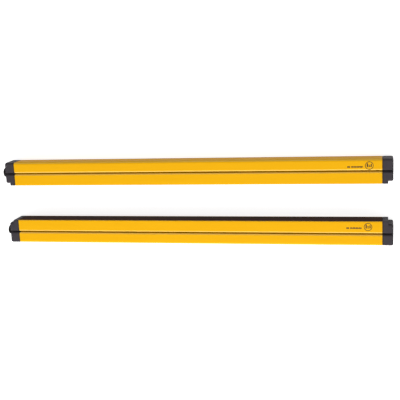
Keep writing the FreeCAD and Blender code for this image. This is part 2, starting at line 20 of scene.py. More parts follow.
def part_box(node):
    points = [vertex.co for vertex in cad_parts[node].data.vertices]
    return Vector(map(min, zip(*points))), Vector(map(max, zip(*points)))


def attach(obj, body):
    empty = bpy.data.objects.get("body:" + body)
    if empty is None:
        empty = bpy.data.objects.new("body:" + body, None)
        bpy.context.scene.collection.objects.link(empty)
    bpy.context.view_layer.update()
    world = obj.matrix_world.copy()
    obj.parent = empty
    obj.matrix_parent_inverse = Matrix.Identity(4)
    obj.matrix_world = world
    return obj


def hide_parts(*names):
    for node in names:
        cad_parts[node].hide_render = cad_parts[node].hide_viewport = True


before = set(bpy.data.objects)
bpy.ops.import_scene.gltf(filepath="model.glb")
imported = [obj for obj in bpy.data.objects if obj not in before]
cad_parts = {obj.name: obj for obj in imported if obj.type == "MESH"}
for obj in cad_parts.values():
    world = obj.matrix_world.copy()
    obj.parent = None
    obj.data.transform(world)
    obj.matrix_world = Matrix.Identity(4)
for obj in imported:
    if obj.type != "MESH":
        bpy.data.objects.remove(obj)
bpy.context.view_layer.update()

MM = 0.001
BODY = "root"
MIX_FROM, MIX_TO, MIX_RESULT = 6, 7, 2    # a Mix node's colour sockets, whose names aren't unique
log = logging.getLogger("light_curtain")


# --- colours and nodes ---------------------------------------------------------------------------

def linear(code: str) -> tuple[float, float, float, float]:
    """Turn an sRGB hex colour into the linear colour that a node takes.

    Args:
        code: The colour as "#rrggbb".

    Returns:
        Red, green, blue and an alpha of 1.
    """
    channels = (int(code[start:start + 2], 16) / 255 for start in (1, 3, 5))
    return (*(c / 12.92 if c <= 0.04045 else ((c + 0.055) / 1.055) ** 2.4 for c in channels), 1.0)


def per_metre(size: float) -> float:
    """Return the scale of a noise whose features are `size` millimetres wide."""
    return 1.0 / (size * MM)


def wave_scale(period: float) -> float:
    """Return the scale of a band texture with a period in mm; at 1 the period is pi / 10 m."""
    return math.pi / 10 / (period * MM)


def add_node(tree: bpy.types.NodeTree, kind: str, sockets: dict[Any, Any] | None = None,
             links: dict[Any, bpy.types.NodeSocket] | None = None,
             **settings: Any) -> bpy.types.Node:
    """Add one node to a tree.

    Args:
        tree: The tree of the material or the world.
        kind: The node's type, such as "ShaderNodeBump".
        sockets: Constants for its input sockets, by name or index.
        links: Output sockets of other nodes that feed its input sockets.
        **settings: The node's own properties.

    Returns:
        The new node.
    """
    node = tree.nodes.new(kind)
    for name, setting in settings.items():
        setattr(node, name, setting)
    for socket, constant in (sockets or {}).items():
        node.inputs[socket].default_value = constant
    for socket, source in (links or {}).items():
        tree.links.new(source, node.inputs[socket])
    return node


# --- finishes ------------------------------------------------------------------------------------

@dataclass(frozen=True)
class Finish:
    """One real surface, and how it meets light.

    Attributes:
        name: What the surface is.
        colour: Its main colour as sRGB hex.
        roughness: Microscopic roughness, 0 for a mirror.
        metallic: 1 for bare metal.
        specular: Specular level, 0.5 for a plain dielectric.
        ior: Refractive index; metals keep the default.
        transmission: How much light goes through instead of scattering.
    """
    name: str
    colour: str
    roughness: float
    metallic: float = 0.0
    specular: float = 0.5
    ior: float = 1.5
    transmission: float = 0.0

    def material(self) -> bpy.types.Material:
        """Give this finish as a material, made the first time it is asked for.

        Returns:
            The material.
        """
        made = bpy.data.materials.get(self.name)
        if made is not None:
            return made
        made = bpy.data.materials.new(self.name)
        made.use_nodes = True
        made.diffuse_color = linear(self.colour)
        tree = made.node_tree
        shader = tree.nodes["Principled BSDF"]
        for socket, constant in (("Base Color", linear(self.colour)), ("Roughness", self.roughness),
                                 ("Metallic", self.metallic), ("Specular IOR Level", self.specular),
                                 ("IOR", self.ior), ("Transmission Weight", self.transmission)):
            shader.inputs[socket].default_value = constant
        place = add_node(tree, "ShaderNodeTexCoord").outputs["Object"]
        self.grain(tree, shader, place)
        return made

    def grain(self, tree: bpy.types.NodeTree, shader: bpy.types.Node,
              place: bpy.types.NodeSocket) -> None:
        """Link the pattern of the surface to its shader; each kind of surface has its own.

        Args:
            tree: The material's node tree.
            shader: Its Principled BSDF.
            place: Object coordinates, in metres.
        """

    def blend_colours(self, tree: bpy.types.NodeTree, shader: bpy.types.Node,
                      factor: bpy.types.NodeSocket, other: str) -> None:
        """Let a pattern shift the colour that the shader has so far towards another.

        Args:
            tree: The material's node tree.
            shader: Its Principled BSDF.
            factor: The pattern, from 0 to 1.
            other: The other colour as sRGB hex.
        """
        base = shader.inputs["Base Color"]
        mix = add_node(tree, "ShaderNodeMix",
                       {MIX_FROM: linear(self.colour), MIX_TO: linear(other)}, {0: factor},
                       data_type="RGBA")
        if base.is_linked:
            tree.links.new(base.links[0].from_socket, mix.inputs[MIX_FROM])
        tree.links.new(mix.outputs[MIX_RESULT], base)


@dataclass(frozen=True)
class PowderCoat(Finish):
    """Polyester powder baked on extruded aluminium: satin, with a fine orange peel.

    Attributes:
        shade: The slightly deeper colour where the coat is thicker.
        painted_highlight: A pale colour painted on the strips along the long edges and groove lips,
            as a painted highlight.
        pale: How far a strip goes over to that colour.
        slant: Y part times Z part of the normal, where a strip begins and where it is full.
        painted_groove_shade: A deep brown painted down in the grooves, as painted shade.
        depth: How near the walls around a groove are looked for, in mm.
        open_air: Share of open air at which a place gets the full painted shade, and at which it
            gets none.
        peel: Width of the orange peel, in mm. A real one of about 0.8 is too fine to show.
        relief: Its height, in mm.
        uneven: How far the roughness goes either way with the peel.
        streak: Width of the streaks of slowly changing thickness along the bar, in mm.
        narrow: Their width as a share of their length.
    """
    shade: str = "#f8b610"
    # Painted highlight colour for the strips along the long edges.
    painted_highlight: str = "#ffdc70"
    pale: float = 0.7
    slant: tuple[float, float] = (0.45, 0.49)
    # Painted shade colour for deep in the grooves.
    painted_groove_shade: str = "#7e2c00"
    depth: float = 3.0
    open_air: tuple[float, float] = (0.2, 0.85)
    peel: float = 1.6
    relief: float = 0.012
    uneven: float = 0.05
    streak: float = 10.0
    narrow: float = 0.15

    def grain(self, tree: bpy.types.NodeTree, shader: bpy.types.Node,
              place: bpy.types.NodeSocket) -> None:
        """Streaks along the bar, a painted highlight on the strips along the long edges, painted
        shade in the grooves, and orange peel for the relief.

        Args:
            tree: The material's node tree.
            shader: Its Principled BSDF.
            place: Object coordinates, in metres.
        """
        drawn_out = add_node(tree, "ShaderNodeMapping", {"Scale": (self.narrow, 1.0, 1.0)},
                             {"Vector": place})
        streaks = add_node(tree, "ShaderNodeTexNoise",
                           {"Scale": per_metre(self.streak), "Detail": 3.0},
                           {"Vector": drawn_out.outputs["Vector"]})
        self.blend_colours(tree, shader, streaks.outputs["Fac"], self.shade)
        # Painted highlight: a pale colour on the 45-degree strips along the long edges and groove
        # lips.
        self.blend_colours(tree, shader, self.painted_highlight_strips(tree), self.painted_highlight)
        # Painted shade: a deep brown where walls stand close, down in the grooves.
        self.blend_colours(tree, shader, self.painted_shade_in_grooves(tree), self.painted_groove_shade)
        peel = add_node(tree, "ShaderNodeTexNoise", {"Scale": per_metre(self.peel), "Detail": 2.0},
                        {"Vector": place})
        sheen = add_node(tree, "ShaderNodeMapRange",
                         {"To Min": self.roughness - self.uneven,
                          "To Max": self.roughness + self.uneven},
                         {"Value": peel.outputs["Fac"]})
        tree.links.new(sheen.outputs["Result"], shader.inputs["Roughness"])
        bump = add_node(tree, "ShaderNodeBump", {"Strength": 0.5, "Distance": self.relief * MM},
                        {"Height": peel.outputs["Fac"]})
        tree.links.new(bump.outputs["Normal"], shader.inputs["Normal"])

    def painted_highlight_strips(self, tree: bpy.types.NodeTree) -> bpy.types.NodeSocket:
        """Find the strips at 45 degrees along the bar's edges, which get a painted highlight.

        Across such a strip the Y and Z parts of the normal multiply to 0.5, and elsewhere to less.

        Args:
            tree: The material's node tree.

        Returns:
            A socket that is 0 elsewhere and rises on the strips.
        """
        normal = add_node(tree, "ShaderNodeTexCoord").outputs["Normal"]
        facing = add_node(tree, "ShaderNodeSeparateXYZ", None, {"Vector": normal})
        both = add_node(tree, "ShaderNodeMath", None,
                        {0: facing.outputs["Y"], 1: facing.outputs["Z"]}, operation="MULTIPLY")
        either_way = add_node(tree, "ShaderNodeMath", None, {0: both.outputs["Value"]},
                              operation="ABSOLUTE")
        begins, full = self.slant
        strip = add_node(tree, "ShaderNodeMapRange",
                         {"From Min": begins, "From Max": full, "To Max": self.pale},
                         {"Value": either_way.outputs["Value"]})
        return strip.outputs["Result"]

    def painted_shade_in_grooves(self, tree: bpy.types.NodeTree) -> bpy.types.NodeSocket:
        """Find the places where walls stand close around the surface, which get painted shade.

        Args:
            tree: The material's node tree.

        Returns:
            A socket that is 0 in the open and 1 deep in a groove.
        """
        around = add_node(tree, "ShaderNodeAmbientOcclusion", {"Distance": self.depth * MM})
        full, ends = self.open_air
        closed_in = add_node(tree, "ShaderNodeMapRange",
                             {"From Min": full, "From Max": ends, "To Min": 1.0, "To Max": 0.0},
                             {"Value": around.outputs["AO"]})
        return closed_in.outputs["Result"]


@dataclass(frozen=True)
class Moulding(Finish):
    """A moulded plastic or rubber: its tool's eroded grit, and slow flow marks in its colour.

    Attributes:
        flow: The colour in the paler flow marks.
        grit: Width of the grit, in mm.
        relief: Height of the grit, in mm.
        uneven: How far the roughness goes either way with the grit.
        swirl: Width of the flow marks, in mm.
    """
    flow: str = "#4a484a"
    grit: float = 0.5
    relief: float = 0.02
    uneven: float = 0.06
    swirl: float = 9.0

    def grain(self, tree: bpy.types.NodeTree, shader: bpy.types.Node,
              place: bpy.types.NodeSocket) -> None:
        """Flow marks for the colour, grit for the relief and for the sheen.

        Args:
            tree: The material's node tree.
            shader: Its Principled BSDF.
            place: Object coordinates, in metres.
        """
        marks = add_node(tree, "ShaderNodeTexNoise",
                         {"Scale": per_metre(self.swirl), "Detail": 4.0, "Distortion": 0.8},
                         {"Vector": place})
        self.blend_colours(tree, shader, marks.outputs["Fac"], self.flow)
        grit = add_node(tree, "ShaderNodeTexVoronoi", {"Scale": per_metre(self.grit)},
                        {"Vector": place})
        sheen = add_node(tree, "ShaderNodeMapRange",
                         {"To Min": self.roughness - self.uneven,
                          "To Max": self.roughness + self.uneven},
                         {"Value": grit.outputs["Distance"]})
        tree.links.new(sheen.outputs["Result"], shader.inputs["Roughness"])
        bump = add_node(tree, "ShaderNodeBump", {"Strength": 0.6, "Distance": self.relief * MM},
                        {"Height": grit.outputs["Distance"]})
        tree.links.new(bump.outputs["Normal"], shader.inputs["Normal"])


@dataclass(frozen=True)
class ClearPlastic(Finish):
    """Polished acrylic or polycarbonate, clear or smoked through and through.

    Attributes:
        tint: The colour where the sheet is a little deeper in tone.
        cloud: Width of those places, in mm.
        wipe: Length of the faint wiping marks, in mm.
        narrow: Their width as a share of their length.
        smear: How much rougher they are.
    """
    tint: str = "#2a1a18"
    cloud: float = 30.0
    wipe: float = 14.0
    narrow: float = 0.1
    smear: float = 0.08

    def grain(self, tree: bpy.types.NodeTree, shader: bpy.types.Node,
              place: bpy.types.NodeSocket) -> None:
        """A slow change of tone, and wiping marks that run along the bar in the sheen.

        Args:
            tree: The material's node tree.
            shader: Its Principled BSDF.
            place: Object coordinates, in metres.
        """
        tone = add_node(tree, "ShaderNodeTexNoise", {"Scale": per_metre(self.cloud)},
                        {"Vector": place})
        self.blend_colours(tree, shader, tone.outputs["Fac"], self.tint)
        drawn_out = add_node(tree, "ShaderNodeMapping", {"Scale": (self.narrow, 1.0, 1.0)},
                             {"Vector": place})
        wiped = add_node(tree, "ShaderNodeTexNoise",
                         {"Scale": per_metre(self.wipe * self.narrow), "Detail": 3.0},
                         {"Vector": drawn_out.outputs["Vector"]})
        sheen = add_node(tree, "ShaderNodeMapRange",
                         {"To Min": self.roughness, "To Max": self.roughness + self.smear},
                         {"Value": wiped.outputs["Fac"]})
        tree.links.new(sheen.outputs["Result"], shader.inputs["Roughness"])


@dataclass(frozen=True)
class TurnedMetal(Finish):
    """A metal part turned about X and then plated or left bare.

    Attributes:
        dull: The colour where the plating has dulled.
        spot: Width of the dull spots, in mm.
        feed: Distance between the tool marks, in mm.
        relief: Their height, in mm.
    """
    dull: str = "#9a958a"
    spot: float = 3.0
    feed: float = 0.25
    relief: float = 0.004

    def grain(self, tree: bpy.types.NodeTree, shader: bpy.types.Node,
              place: bpy.types.NodeSocket) -> None:
        """Rings of tool marks along X for the relief, and dull spots for the colour.

        Args:
            tree: The material's node tree.
            shader: Its Principled BSDF.
            place: Object coordinates, in metres.
        """
        spots = add_node(tree, "ShaderNodeTexNoise", {"Scale": per_metre(self.spot), "Detail": 3.0},
                         {"Vector": place})
        self.blend_colours(tree, shader, spots.outputs["Fac"], self.dull)
        rings = add_node(tree, "ShaderNodeTexWave",
                         {"Scale": wave_scale(self.feed), "Distortion": 0.4}, {"Vector": place},
                         wave_type="BANDS", bands_direction="X")
        bump = add_node(tree, "ShaderNodeBump", {"Strength": 0.5, "Distance": self.relief * MM},
                        {"Height": rings.outputs["Fac"]})
        tree.links.new(bump.outputs["Normal"], shader.inputs["Normal"])


@dataclass(frozen=True)
class SolderMask(Finish):
    """Green solder mask over the copper tracks of a circuit board.

    Attributes:
        track: The mask's colour over copper.
        cell: Width of the plain fields between the tracks, in mm.
        clear: Distance from the middle of a field at which a track begins, in cell widths.
        relief: Height of a track, in mm.
    """
    track: str = "#2c7a4a"
    cell: float = 4.8
    clear: float = 0.55
    relief: float = 0.03

    def grain(self, tree: bpy.types.NodeTree, shader: bpy.types.Node,
              place: bpy.types.NodeSocket) -> None:
        """Angular cells whose edges stand for tracks, in colour and in relief.

        Args:
            tree: The material's node tree.
            shader: Its Principled BSDF.
            place: Object coordinates, in metres.
        """
        cells = add_node(tree, "ShaderNodeTexVoronoi", {"Scale": per_metre(self.cell)},
                         {"Vector": place}, distance="CHEBYCHEV")
        tracks = add_node(tree, "ShaderNodeMath", {1: self.clear}, {0: cells.outputs["Distance"]},
                          operation="GREATER_THAN")
        self.blend_colours(tree, shader, tracks.outputs["Value"], self.track)
        bump = add_node(tree, "ShaderNodeBump", {"Strength": 0.4, "Distance": self.relief * MM},
                        {"Height": tracks.outputs["Value"]})
        tree.links.new(bump.outputs["Normal"], shader.inputs["Normal"])


# Traffic yellow polyester powder: a warm satin yellow, with a painted highlight along its long
# edges and painted shade deep in its grooves.
POWDER_YELLOW = PowderCoat("powder_coated_aluminium", "#fdbd16", 0.48, specular=0.04)
# Cast acrylic that passes infrared alone: a near-black brown that the eye can't see into.
SMOKED_ACRYLIC = ClearPlastic("smoked_acrylic", "#3c200f", 0.42, specular=0.005, ior=1.49,
                              tint="#2b1508")
# Glass-filled nylon with an eroded tool face: dark warm grey, dull, edges that catch some light.
GLASS_FILLED_NYLON = Moulding("glass_filled_nylon", "#403b40", 0.55, specular=0.05, ior=1.53,
                              flow="#474347")
# EPDM rubber: the darkest and dullest line round each joint.
EPDM_RUBBER = Moulding("epdm_rubber", "#17161a", 0.8, specular=0.25, flow="#1e1d20", grit=0.8)
# FR4 board under green solder mask: a soft sheen, with the tracks as paler lines.
BOARD_MASK = SolderMask("circuit_board_solder_mask", "#14502f", 0.4)
# Epoxy moulding compound of the chips: flat charcoal.
CHIP_EPOXY = Moulding("chip_epoxy", "#1b1b1e", 0.6, flow="#232326", grit=0.3, relief=0.01)
# Black polycarbonate of the optics carriers: matt, so that stray light dies in it.
CARRIER_PLASTIC = Moulding("black_polycarbonate", "#202124", 0.7, flow="#28292c", grit=0.4)
# Optical acrylic of the lenses: clear and bright.
LENS_ACRYLIC = ClearPlastic("optical_acrylic", "#eef1f4", 0.04, ior=1.49, transmission=0.95,
                            tint="#e2e8ee", wipe=5.0)
# Milky polycarbonate of the light pipes: soft white, glowing at its edges.
LIGHT_PIPE = ClearPlastic("milky_polycarbonate", "#e9ece8", 0.3, ior=1.58, transmission=0.4,
                          tint="#dfe4dc", wipe=3.0)
# Tinted epoxy of the infrared diodes: small dark beads.
DIODE_EPOXY = ClearPlastic("infrared_diode_epoxy", "#3b3f55", 0.12, ior=1.55, transmission=0.5,
                           tint="#2c2f44", wipe=2.0)
# Turned brass plated black: a dark satin metal, with rings from the tool.
PLATED_BRASS = TurnedMetal("black_plated_brass", "#3c3a38", 0.3, metallic=1.0, dull="#2e2c2b")
# Stainless steel screws: a cool, slightly dull silver.
STAINLESS_STEEL = TurnedMetal("stainless_steel", "#a9abad", 0.34, metallic=1.0, dull="#8f9193",
                              feed=0.3)
# Hard gold on the contact pins: a deep yellow mirror.
CONTACT_GOLD = TurnedMetal("gold_plated_contact", "#e0b44c", 0.2, metallic=1.0, dull="#c99d3c",
                           feed=0.2, relief=0.002)
# Black polyamide of the contact insert: smoother than the caps.
INSERT_PLASTIC = Moulding("insert_polyamide", "#1a1a1c", 0.45, flow="#222224", grit=0.3,
                          relief=0.01)
# Pad-printing ink: flat black-brown on the yellow.
PRINT_INK = Moulding("pad_print_ink", "#2a1c08", 0.5, specular=0.3, flow="#3a2a10", grit=0.3,
                     relief=0.005, swirl=2.0)

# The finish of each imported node, by the end of its name.
NODE_FINISHES: dict[str, Finish] = {
    "housing_profile": POWDER_YELLOW,
    "front_window": SMOKED_ACRYLIC,
    "window_seal": EPDM_RUBBER,
    "beam_board": BOARD_MASK,
    "beam_receivers": DIODE_EPOXY,
    "beam_emitters": DIODE_EPOXY,
    "control_parts": CHIP_EPOXY,
    "optics_carrier": CARRIER_PLASTIC,
    "lens_strip": LENS_ACRYLIC,
    "display_holder": CARRIER_PLASTIC,
    "status_lamps": LIGHT_PIPE,
    "cap_gasket": EPDM_RUBBER,
    "end_cap": GLASS_FILLED_NYLON,
    "connector_cap": GLASS_FILLED_NYLON,
    "cap_screws": STAINLESS_STEEL,
    "connector_shell": PLATED_BRASS,
    "connector_seal": EPDM_RUBBER,
    "connector_insert": INSERT_PLASTIC,
    "connector_pins": CONTACT_GOLD,
}


# --- making a piece ------------------------------------------------------------------------------

def put_in_order(shape: bmesh.types.BMesh) -> None:
    """Sort the corners by place and the faces by their corners.

    The operators leave new faces in an order of their own, which isn't the same each run.

    Args:
        shape: The mesh, with no two corners in one place.
    """
    by_place = sorted(shape.verts, key=lambda corner: corner.co[:])
    corner_rank = {corner: rank for rank, corner in enumerate(by_place)}
    by_corners = sorted(shape.faces, key=lambda face: sorted(corner_rank[c] for c in face.verts))
    face_rank = {face: rank for rank, face in enumerate(by_corners)}
    shape.verts.sort(key=corner_rank.get)
    shape.faces.sort(key=face_rank.get)


def finished_piece(name: str, shape: bmesh.types.BMesh, finish: Finish,
                   smooth: float = 30.0) -> bpy.types.Object:
    """Turn a finished bmesh into a piece of the object that rides on its body.

    Args:
        name: The piece's name.
        shape: Its mesh, in place; it is freed here.
        finish: What it is made of.
        smooth: Edges flatter than this many degrees are shaded smooth.

    Returns:
        The piece's object, at the origin.
    """
    put_in_order(shape)
    mesh = bpy.data.meshes.new(name)
    shape.to_mesh(mesh)
    shape.free()
    mesh.polygons.foreach_set("use_smooth", [True] * len(mesh.polygons))
    mesh.set_sharp_from_angle(angle=math.radians(smooth))
    mesh.materials.append(finish.material())
    piece = bpy.data.objects.new(name, mesh)
    bpy.context.scene.collection.objects.link(piece)
    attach(piece, BODY)
    return piece


class Role(Enum):
    """The two bars of the set, by the first word of their nodes' names."""
    RECEIVER = "receiver"
    EMITTER = "emitter"

    def node(self, label: str) -> str:
        """Return the full name of one of this bar's nodes."""
        return f"{self.value}_{label}"


# --- the plug socket -----------------------------------------------------------------------------

@dataclass
class PlugSocket:
    """The threaded M12 shell of one bar: a turned sleeve and the helix of its thread.

    Attributes:
        role: The bar that it belongs to.
        pitch: Thread pitch, in mm, as all lengths here are.
        crest: Radius over the thread.
        root: Radius at its bottom.
        crest_flat: Width of the thread's flat crest.
        ridge: Width of the thread at its foot, as a share of the pitch.
        footing: How deep that foot stands in the sleeve.
        run_in: From the rim, and from the flange, to the foot of the thread.
        fade: From there the thread's ends rise at 45 degrees, this far in.
        thread_end: From the rim to the flange.
        rim_chamfer: Chamfer round the outside of the rim.
        bore_chamfer: Chamfer round its inside.
        flange: Radius of the flange, which seats in the cap's well.
        flange_thickness: Its thickness.
        flange_edge: Bevel of its edges.
        shank: Radius behind the flange, through the cap's floor.
        bore: Inner radius of the sleeve.
        steps: Faces round one turn.
    """
    role: Role
    pitch: float = 1.0
    crest: float = 6.0
    root: float = 5.45
    crest_flat: float = 0.16
    ridge: float = 0.9
    footing: float = 0.15
    run_in: float = 0.3
    fade: float = 0.2
    thread_end: float = 8.0
    rim_chamfer: float = 0.4
    bore_chamfer: float = 0.2
    flange: float = 7.25
    flange_thickness: float = 1.5
    flange_edge: float = 0.25
    shank: float = 5.0
    bore: float = 4.25
    steps: int = 32

    def __post_init__(self) -> None:
        """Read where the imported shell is."""
        low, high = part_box(self.role.node("connector_shell"))
        self.rim = Vector((low.x, (low.y + high.y) / 2, (low.z + high.z) / 2))
        self.length = (high.x - low.x) / MM

    def sleeve(self, shape: bmesh.types.BMesh) -> None:
        """Spin the sleeve's section round X: chamfered rim, thread root, flange and shank.

        Args:
            shape: The bmesh that it is added to, in mm from the middle of the rim.
        """
        front, back = self.thread_end, self.thread_end + self.flange_thickness
        section = [(0.0, self.bore + self.bore_chamfer), (0.0, self.root - self.rim_chamfer),
                   (self.rim_chamfer, self.root), (front, self.root),
                   (front, self.flange - self.flange_edge), (front + self.flange_edge, self.flange),
                   (back - self.flange_edge, self.flange), (back, self.flange - self.flange_edge),
                   (back, self.shank), (self.length, self.shank), (self.length, self.bore),
                   (self.bore_chamfer, self.bore)]
        corners = [shape.verts.new((along, radius, 0.0)) for along, radius in section]
        edges = [shape.edges.new((a, b)) for a, b in zip(corners, corners[1:] + corners[:1])]
        bmesh.ops.spin(shape, geom=corners + edges, cent=(0, 0, 0), axis=(1, 0, 0),
                       angle=math.tau, steps=self.steps, use_merge=True)

    def thread(self, shape: bmesh.types.BMesh) -> None:
        """Spin the thread's ridge round X while it moves along it, then fade out both its ends.

        Args:
            shape: The empty bmesh that it is made in, in mm from the middle of the rim.
        """
        half_foot, half_crest = self.pitch / 2 * self.ridge, self.crest_flat / 2
        foot = self.root - self.footing
        start = half_foot + self.run_in
        section = [(start - half_foot, foot), (start - half_crest, self.crest),
                   (start + half_crest, self.crest), (start + half_foot, foot)]
        corners = [shape.verts.new((along, radius, 0.0)) for along, radius in section]
        outline = shape.faces.new(corners)
        turns = math.floor((self.thread_end - 2 * start) / self.pitch)
        spun = bmesh.ops.spin(shape, geom=[*corners, *outline.edges], cent=(0, 0, 0),
                              axis=(1, 0, 0), dvec=(self.pitch / self.steps, 0, 0),
                              angle=math.tau * turns, steps=self.steps * turns)
        last = [g for g in spun["geom_last"] if isinstance(g, bmesh.types.BMEdge)]
        bmesh.ops.contextual_create(shape, geom=last)
        for corner in shape.verts:
            radius = math.hypot(corner.co.y, corner.co.z)
            from_end = min(corner.co.x, self.thread_end - corner.co.x)
            allowed = self.root + max(0.0, from_end - self.fade)
            if radius > allowed:
                corner.co.yz = corner.co.yz * (allowed / radius)

    def build(self) -> bpy.types.Object:
        """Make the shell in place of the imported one.

        Returns:
            The threaded shell.
        """
        shape = bmesh.new()
        self.thread(shape)
        self.sleeve(shape)
        bmesh.ops.recalc_face_normals(shape, faces=shape.faces)
        bmesh.ops.scale(shape, vec=(MM, MM, MM), verts=shape.verts)
        bmesh.ops.translate(shape, vec=self.rim, verts=shape.verts)
        shell = finished_piece(self.role.node("threaded_shell"), shape, PLATED_BRASS)
        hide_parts(self.role.node("connector_shell"))
        return shell


# --- printed marks -------------------------------------------------------------------------------

# A rectangle of ink: its middle along X and Y, its width and its height, in mm.
Stroke = tuple[float, float, float, float]


@dataclass
class SideMark:
    """The pad-printed mark on a bar's upper side face: a ring of plain strokes, then a tick row.

    Attributes:
        role: The bar that it is printed on.
        from_end: Middle of the ring, from the closed end of the extrusion, in mm, as all here is.
        from_low_y: Middle of the ring, from the extrusion's lowest Y.
        ring: Outer radius of the ring.
        line: Width of the ring's line.
        posts: The two upright strokes in the ring.
        beams: The two level strokes between them.
        tick_row: Middle of the tick row, from the middle of the ring along Y.
        tick_start: Its tick nearest the ring, from the middle of the ring along X.
        tick_pitch: From tick to tick.
        tick_width: Width of a tick.
        tick_height: Height of a full tick.
        low_tick: Height of every third tick, as a share of a full one.
        tick_count: Ticks in the row.
        lone_ticks: Ticks that follow past a gap of one.
        ink: Thickness of the ink.
    """
    role: Role
    from_end: float
    from_low_y: float
    ring: float = 4.9
    line: float = 0.7
    posts: tuple[Stroke, Stroke] = ((-2.2, 0.5, 1.4, 4.6), (2.4, 0.2, 1.1, 3.8))
    beams: tuple[Stroke, Stroke] = ((0.2, -1.2, 2.4, 0.8), (0.2, 0.4, 2.4, 0.8))
    tick_row: float = -1.5
    tick_start: float = 8.0
    tick_pitch: float = 1.15
    tick_width: float = 0.95
    tick_height: float = 1.9
    low_tick: float = 0.7
    tick_count: int = 12
    lone_ticks: int = 3
    ink: float = 0.03

    def __post_init__(self) -> None:
        """Read where the face is."""
        low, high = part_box(self.role.node("housing_profile"))
        self.middle = Vector((high.x - self.from_end * MM, low.y + self.from_low_y * MM, high.z))

    def ring_outline(self, shape: bmesh.types.BMesh) -> None:
        """Draw the flat ring: a disc whose inset middle is taken out.

        Args:
            shape: The bmesh that it is added to, in mm from the middle of the ring.
        """
        disc = bmesh.ops.create_circle(shape, cap_ends=True, segments=48, radius=self.ring)
        face = next(f for f in shape.faces if f.verts[0] in disc["verts"])
        bmesh.ops.inset_region(shape, faces=[face], thickness=self.line, use_boundary=True)
        bmesh.ops.delete(shape, geom=[face], context="FACES_ONLY")

    def draw(self, shape: bmesh.types.BMesh, stroke: Stroke) -> None:
        """Draw one flat rectangle.

        Args:
            shape: The bmesh that it is added to, in mm from the middle of the ring.
            stroke: The rectangle.
        """
        x, y, width, height = stroke
        square = bmesh.ops.create_grid(shape, x_segments=1, y_segments=1, size=0.5)["verts"]
        bmesh.ops.scale(shape, vec=(width, height, 1.0), verts=square)
        bmesh.ops.translate(shape, vec=(x, y, 0.0), verts=square)

    def strokes(self) -> Iterator[Stroke]:
        """List every straight stroke of the mark.

        Yields:
            The posts, the beams and then the ticks, away from the ring.
        """
        yield from self.posts
        yield from self.beams
        for tick in range(self.tick_count):
            yield (-self.tick_start - tick * self.tick_pitch, self.tick_row, self.tick_width,
                   self.tick_height * (1.0 if tick % 3 else self.low_tick))
        far = self.tick_start + (self.tick_count + 1) * self.tick_pitch
        for tick in range(self.lone_ticks):
            yield -far - tick * self.tick_pitch, self.tick_row, self.tick_width, self.tick_height

    def build(self) -> bpy.types.Object:
        """Print the mark.

        Returns:
            The layer of ink.
        """
        shape = bmesh.new()
        self.ring_outline(shape)
        for stroke in self.strokes():
            self.draw(shape, stroke)
        raised = bmesh.ops.extrude_face_region(shape, geom=shape.faces[:])["geom"]
        bmesh.ops.translate(shape, vec=(0, 0, self.ink),
                            verts=[g for g in raised if isinstance(g, bmesh.types.BMVert)])
        bmesh.ops.recalc_face_normals(shape, faces=shape.faces)
        bmesh.ops.scale(shape, vec=(MM, MM, MM), verts=shape.verts)
        bmesh.ops.translate(shape, vec=self.middle, verts=shape.verts)
        return finished_piece(self.role.node("side_mark"), shape, PRINT_INK)


# --- the bars ------------------------------------------------------------------------------------

@dataclass(frozen=True)
class Bar:
    """One bar of the set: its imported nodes, its plug's threaded shell and its printed mark.

    Attributes:
        role: Which of the two bars it is.
        mark_from_end: Middle of the mark's ring, from the closed end of the extrusion, in mm.
        mark_from_low_y: Middle of the mark's ring, from the extrusion's lowest Y, in mm.
    """
    role: Role
    mark_from_end: float
    mark_from_low_y: float

    def dress(self) -> None:
        """Give each of the bar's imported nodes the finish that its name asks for."""
        for name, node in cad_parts.items():
            if not name.startswith(self.role.value):
                continue
            label = name.rstrip("0123456789_")
            finish = next(f for ending, f in NODE_FINISHES.items() if label.endswith(ending))
            if not node.material_slots:
                node.data.materials.append(finish.material())
            for slot in node.material_slots:
                slot.material = finish.material()
            log.info("%s: %s", name, finish.name)

    def build(self) -> Iterator[bpy.types.Object]:
        """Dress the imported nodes, then make the pieces that they leave out.

        Yields:
            The plug's threaded shell and the printed mark.
        """
        self.dress()
        yield PlugSocket(self.role).build()
        yield SideMark(self.role, self.mark_from_end, self.mark_from_low_y).build()


# --- the studio ----------------------------------------------------------------------------------

@dataclass(frozen=True)
class Viewpoint:
    """Where the camera stands and what it is pointed at, in mm.

    Attributes:
        stand: The camera's place.
        aim: A point on its axis.
        lens: Focal length.
        sensor: Width of the sensor.
        nearest: Nothing closer than this is drawn.
        farthest: Nor is anything past this.
        roll: Turn about its own axis from +Y up, in degrees.
    """
    stand: tuple[float, float, float] = (236.9, 210.4, 1042.7)
    aim: tuple[float, float, float] = (11.6, 0.9, 14.0)
    lens: float = 76.5
    sensor: float = 36.0
    nearest: float = 10.0
    farthest: float = 20000.0
    roll: float = -2.5

    def build(self) -> bpy.types.Object:
        """Make the scene's camera.

        Returns:
            The camera.
        """
        stand, aim = Vector(self.stand) * MM, Vector(self.aim) * MM
        backwards = (stand - aim).normalized()
        right = Vector((0, 1, 0)).cross(backwards).normalized()
        upright = Matrix((right, backwards.cross(right), backwards)).transposed().to_4x4()
        data = bpy.data.cameras.new("camera")
        data.lens, data.sensor_width = self.lens, self.sensor
        data.clip_start, data.clip_end = self.nearest * MM, self.farthest * MM
        camera = bpy.data.objects.new("camera", data)
        camera.matrix_world = (Matrix.Translation(stand) @ upright
                               @ Matrix.Rotation(math.radians(self.roll), 4, "Z"))
        bpy.context.scene.collection.objects.link(camera)
        bpy.context.scene.camera = camera
        return camera


